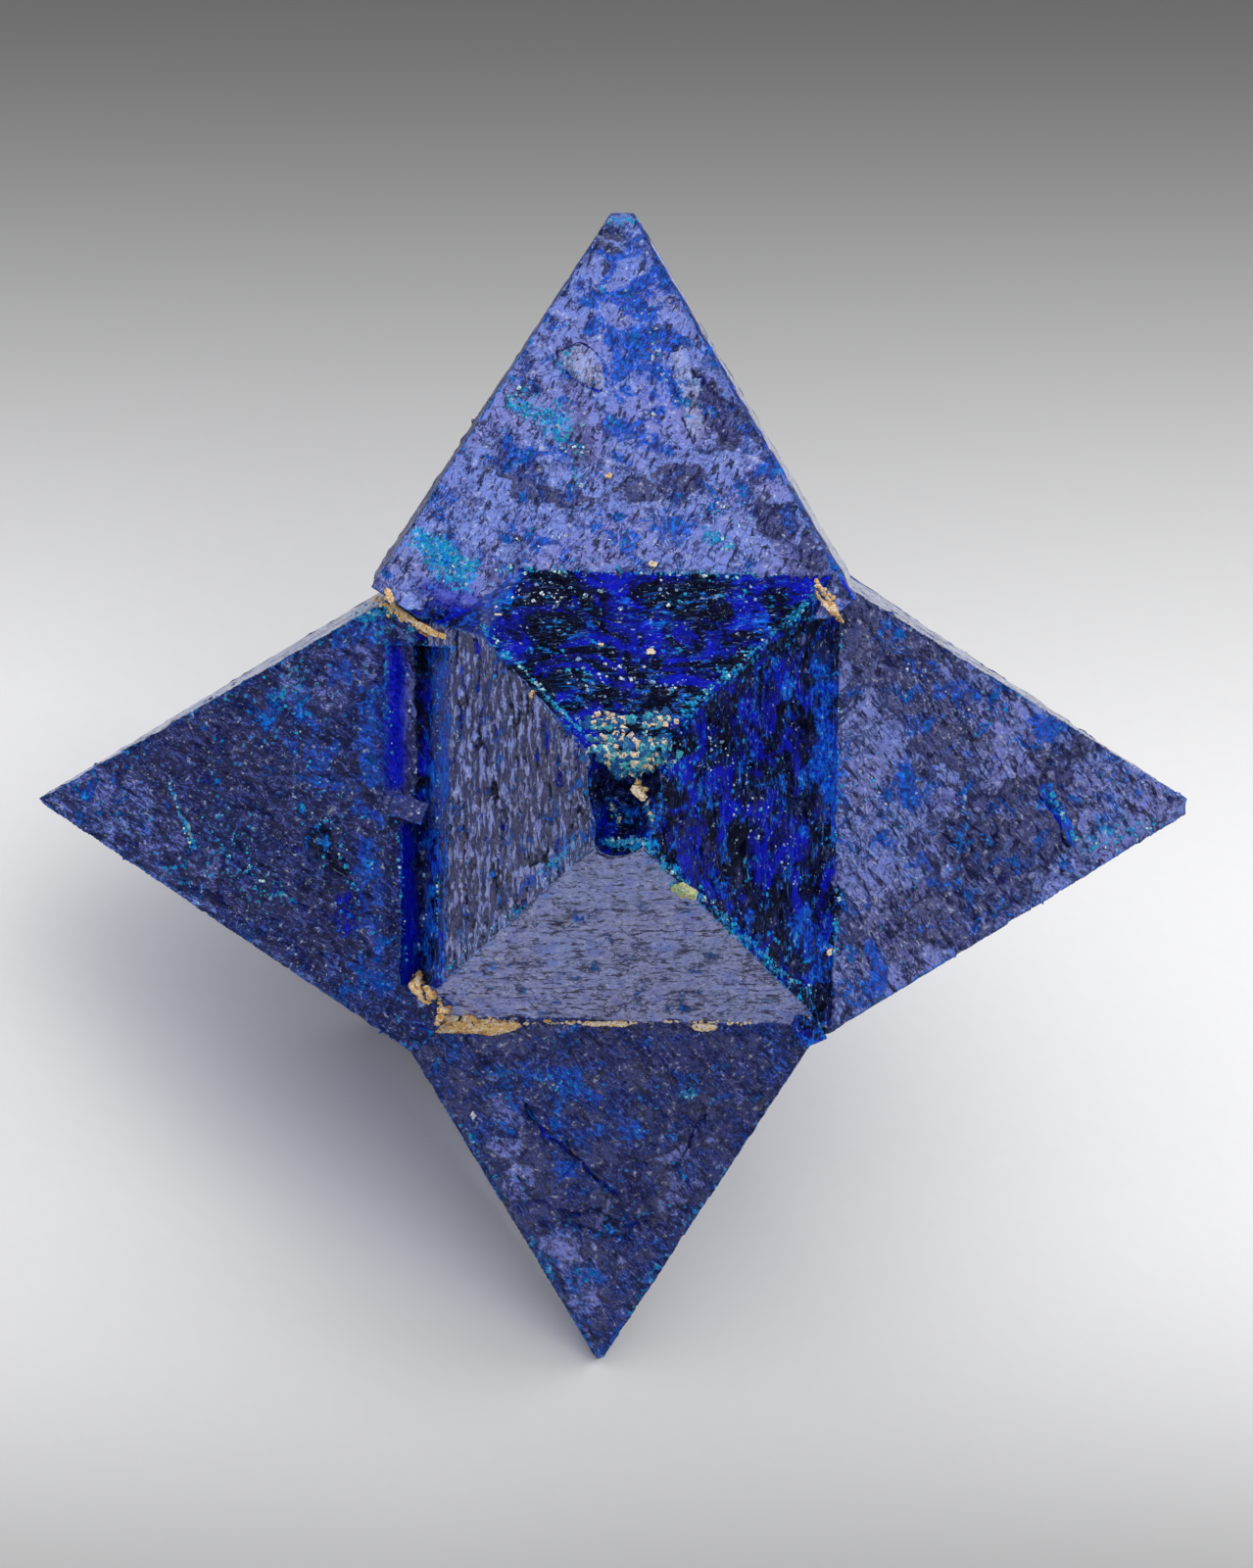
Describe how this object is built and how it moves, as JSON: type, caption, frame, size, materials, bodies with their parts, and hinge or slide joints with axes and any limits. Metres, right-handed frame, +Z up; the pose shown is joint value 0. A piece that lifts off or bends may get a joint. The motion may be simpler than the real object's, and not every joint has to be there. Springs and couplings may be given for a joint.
{
  "type": "cumengeite crystal",
  "caption": "Star of deep blue cumengeite: square pyramid rays grown out of one cube, the front tip broken, with ochre matrix in the notches.",
  "frame": {"origin": "middle of the underside of the specimen's box, on the table it lies on", "axes": "+Z up; -Y towards the side from which the front ray is seen, +X to the right there. The star lies back on its bottom ray, its back ray and the corner between them, so the front ray points up and to the front."},
  "size_m": [0.0262, 0.0218, 0.0199],
  "materials": {
    "cumengeite": "glassy to waxy crystal faces, etched and stained",
    "ochre_matrix": "earthy, dull",
    "pale_matrix": "earthy, dull",
    "green_matrix": "earthy with a green stain",
    "druse": "fine sparkling grains",
    "white_mineral": "silky flake"
  },
  "bodies": {
    "root": {"star_crystal": "cumengeite", "seam_upper_left": "ochre_matrix", "seam_upper_right": "ochre_matrix", "lump_channel": "ochre_matrix", "lump_channel_foot": "ochre_matrix", "seam_bottom": "ochre_matrix", "seam_bottom_middle": "pale_matrix", "seam_bottom_right": "pale_matrix", "ridge_lump": "green_matrix", "tip_druse": "druse", "tip_grain": "pale_matrix", "crumb_top_ray_foot": "pale_matrix", "crumb_top_ray_middle": "ochre_matrix", "crumb_dark_face_left": "pale_matrix", "crumb_dark_face_right": "pale_matrix", "crumb_upper_left_ridge": "ochre_matrix", "crumb_left_face_top": "pale_matrix", "crumb_right_channel": "pale_matrix", "crumb_lower_notch": "ochre_matrix", "white_flake": "white_mineral"}
  },
  "joints": []
}
